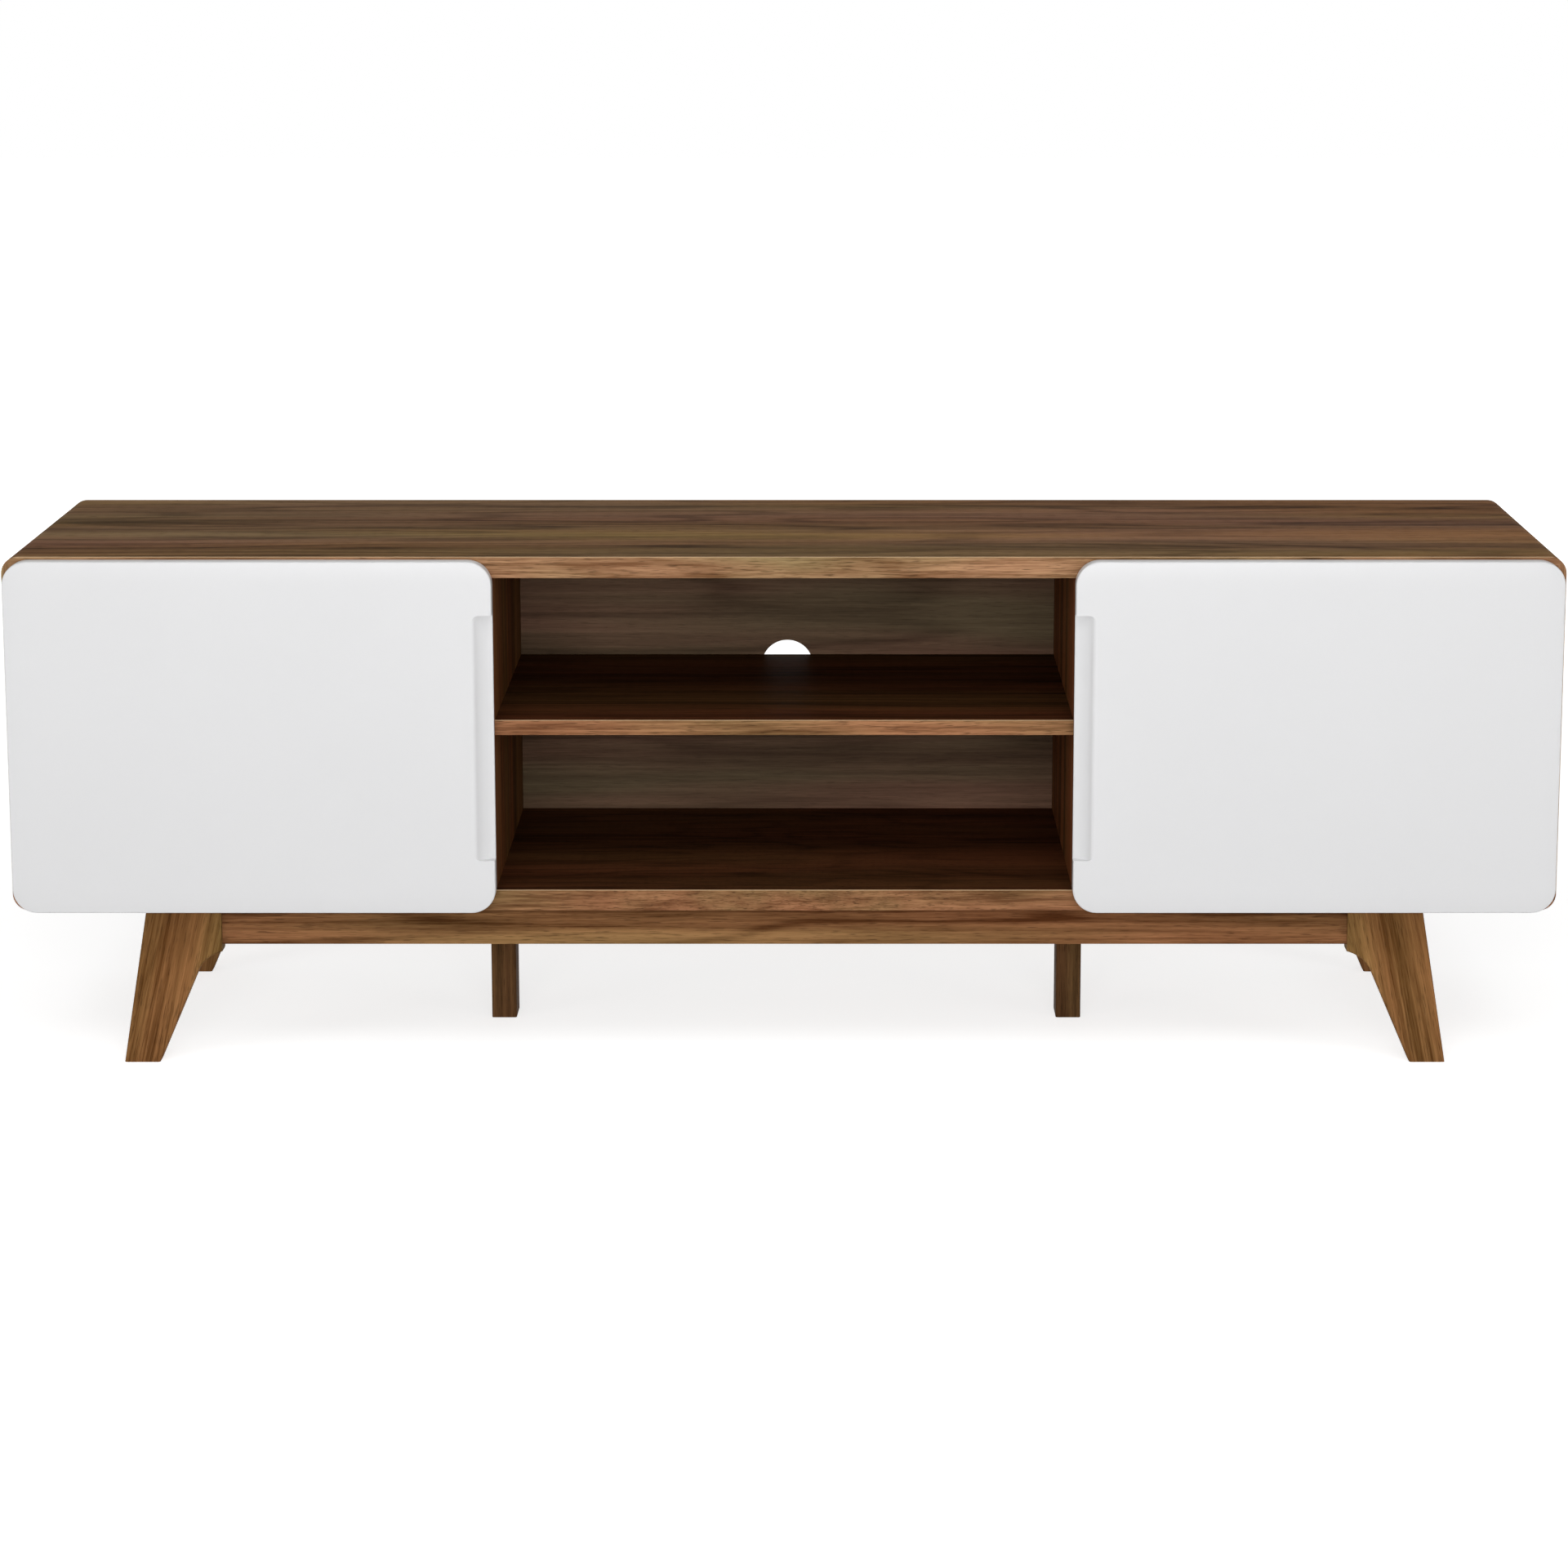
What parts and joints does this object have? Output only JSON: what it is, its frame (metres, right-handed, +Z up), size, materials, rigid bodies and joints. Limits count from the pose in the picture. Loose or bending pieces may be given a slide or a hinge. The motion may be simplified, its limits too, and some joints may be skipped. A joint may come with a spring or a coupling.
{
  "type": "media cabinet",
  "caption": "Long low media cabinet with an open shelved bay between white side-hung doors, a case with rounded corners and a walnut base with splayed legs.",
  "frame": {"origin": "on the floor, under the middle of the whole cabinet with its doors shut", "axes": "+X along the width to the right seen from the front, +Y from the doors to the back panel, +Z up"},
  "size_m": [1.79, 0.395, 0.603],
  "materials": {
    "walnut_board": "satin walnut, grain along the width",
    "walnut_upright": "satin walnut, grain upright",
    "walnut_back": "matt walnut-faced panel, grain along the width",
    "walnut_base": "satin walnut, solid",
    "white_lacquer": "satin white lacquer over fibreboard",
    "nickel_steel": "nickel-plated pressed steel",
    "zinc_steel": "zinc-plated steel",
    "zinc": "bare zinc alloy casting",
    "beech": "bare beech",
    "clear_rubber": "clear soft pad"
  },
  "bodies": {
    "case": {"back_panel_screws": "zinc_steel", "base_dowels": "beech", "base_screws": "zinc_steel", "bottom_panel": "walnut_board", "cam_bolts": "zinc_steel", "cam_locks": "zinc", "centre_back_panel": "walnut_back", "centre_leg_bolts": "zinc_steel", "centre_shelf": "walnut_board", "door_bumpers": "clear_rubber", "front_apron": "walnut_base", "left_back_panel": "walnut_back", "left_centre_leg": "walnut_base", "left_cross_rail": "walnut_base", "left_divider": "walnut_upright", "left_end_rail": "walnut_base", "left_front_leg": "walnut_base", "left_hinge_arms": "nickel_steel", "left_hinge_plate_screws": "zinc_steel", "left_hinge_plates": "nickel_steel", "left_inner_shelf": "walnut_board", "left_inner_shelf_pins": "nickel_steel", "left_rear_leg": "walnut_base", "left_side_panel": "walnut_upright", "rear_apron": "walnut_base", "right_back_panel": "walnut_back", "right_centre_leg": "walnut_base", "right_cross_rail": "walnut_base", "right_divider": "walnut_upright", "right_end_rail": "walnut_base", "right_front_leg": "walnut_base", "right_hinge_arms": "nickel_steel", "right_hinge_plate_screws": "zinc_steel", "right_hinge_plates": "nickel_steel", "right_inner_shelf": "walnut_board", "right_inner_shelf_pins": "nickel_steel", "right_rear_leg": "walnut_base", "right_side_panel": "walnut_upright", "shelf_dowels": "beech", "top_panel": "walnut_board", "upright_dowels": "beech"},
    "left_door": {"left_door": "white_lacquer", "left_hinge_cups": "nickel_steel", "left_hinge_cup_screws": "zinc_steel", "left_hinge_pins": "nickel_steel"},
    "right_door": {"right_door": "white_lacquer", "right_hinge_cups": "nickel_steel", "right_hinge_cup_screws": "zinc_steel", "right_hinge_pins": "nickel_steel"}
  },
  "joints": [
    {"name": "left_door_hinge", "type": "hinge", "parent": "case", "child": "left_door", "pos_m": [-0.884, -0.1865, 0.394], "axis": [0, 0, -1], "range_deg": [0, 100]},
    {"name": "right_door_hinge", "type": "hinge", "parent": "case", "child": "right_door", "pos_m": [0.884, -0.1865, 0.394], "axis": [0, 0, 1], "range_deg": [0, 100]}
  ]
}
